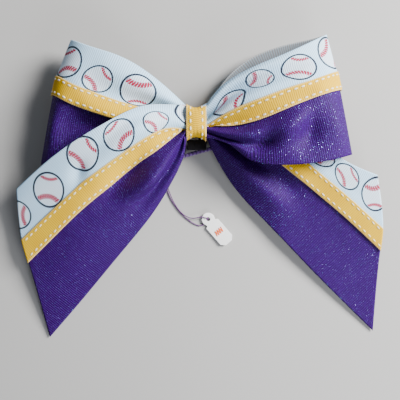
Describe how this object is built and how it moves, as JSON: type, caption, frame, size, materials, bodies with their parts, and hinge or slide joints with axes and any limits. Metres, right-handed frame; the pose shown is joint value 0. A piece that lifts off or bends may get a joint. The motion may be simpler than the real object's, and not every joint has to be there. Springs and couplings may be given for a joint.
{
  "type": "cheer hair bow",
  "caption": "Hair bow of three lapped ribbons folded into two loops and two tails, cinched by a stitched wrap on a hair elastic, with a swing tag on a thread.",
  "frame": {"origin": "on the flat back of the knot wrap, in the plane the bow rests on, under the middle of the knot", "axes": "+Z from the back to the front of the bow, +X towards the right loop seen from the front, +Y towards the white edge of the loops"},
  "size_m": [0.1816, 0.1511, 0.0277],
  "materials": {
    "purple_ribbon": "glitter grosgrain",
    "yellow_ribbon": "stitched grosgrain",
    "white_ribbon": "printed grosgrain",
    "elastic": "braided",
    "black_tie": "moulded",
    "thread": "twisted",
    "card": "coated card"
  },
  "bodies": {
    "knot": {"gather_purple": "purple_ribbon", "gather_yellow": "yellow_ribbon", "gather_white": "white_ribbon", "knot_wrap": "yellow_ribbon", "cinch_tie": "black_tie"},
    "left_loop": {"left_loop_front_purple": "purple_ribbon", "left_loop_front_yellow": "yellow_ribbon", "left_loop_front_white": "white_ribbon", "left_loop_back_purple": "purple_ribbon", "left_loop_back_yellow": "yellow_ribbon", "left_loop_back_white": "white_ribbon"},
    "right_loop": {"right_loop_front_purple": "purple_ribbon", "right_loop_front_yellow": "yellow_ribbon", "right_loop_front_white": "white_ribbon", "right_loop_back_purple": "purple_ribbon", "right_loop_back_yellow": "yellow_ribbon", "right_loop_back_white": "white_ribbon"},
    "left_tail": {"left_tail_purple": "purple_ribbon", "left_tail_yellow": "yellow_ribbon", "left_tail_white": "white_ribbon"},
    "right_tail": {"right_tail_purple": "purple_ribbon", "right_tail_yellow": "yellow_ribbon", "right_tail_white": "white_ribbon"},
    "elastic": {"hair_elastic": "elastic", "tag_thread": "thread"},
    "tag": {"price_tag": "card"}
  },
  "joints": [
    {"name": "left_loop_lift", "type": "hinge", "parent": "knot", "child": "left_loop", "pos_m": [-0.0056, 0, 0.0166], "axis": [0, 1, 0], "range_deg": [0, 25], "stiffness_Nm_per_rad": 0.02},
    {"name": "left_tail_lift", "type": "hinge", "parent": "left_loop", "child": "left_tail", "pos_m": [-0.0056, 0, 0.0166], "axis": [0, 1, 0], "range_deg": [0, 35], "stiffness_Nm_per_rad": 0.01},
    {"name": "right_loop_lift", "type": "hinge", "parent": "knot", "child": "right_loop", "pos_m": [0.0056, 0, 0.0166], "axis": [0, -1, 0], "range_deg": [0, 25], "stiffness_Nm_per_rad": 0.02},
    {"name": "right_tail_swing", "type": "hinge", "parent": "right_loop", "child": "right_tail", "pos_m": [0.0056, -0.0078, 0.0101], "axis": [0, 0, -1], "range_deg": [0, 12], "stiffness_Nm_per_rad": 0.01},
    {"name": "elastic_swing", "type": "hinge", "parent": "knot", "child": "elastic", "pos_m": [0, 0.001, 0.0023], "axis": [1, 0, 0], "range_deg": [0, 100]},
    {"name": "tag_swivel", "type": "hinge", "parent": "elastic", "child": "tag", "pos_m": [0.0059, -0.0476, 0.00095], "axis": [0, 0, 1], "range_deg": [-35, 35]}
  ]
}
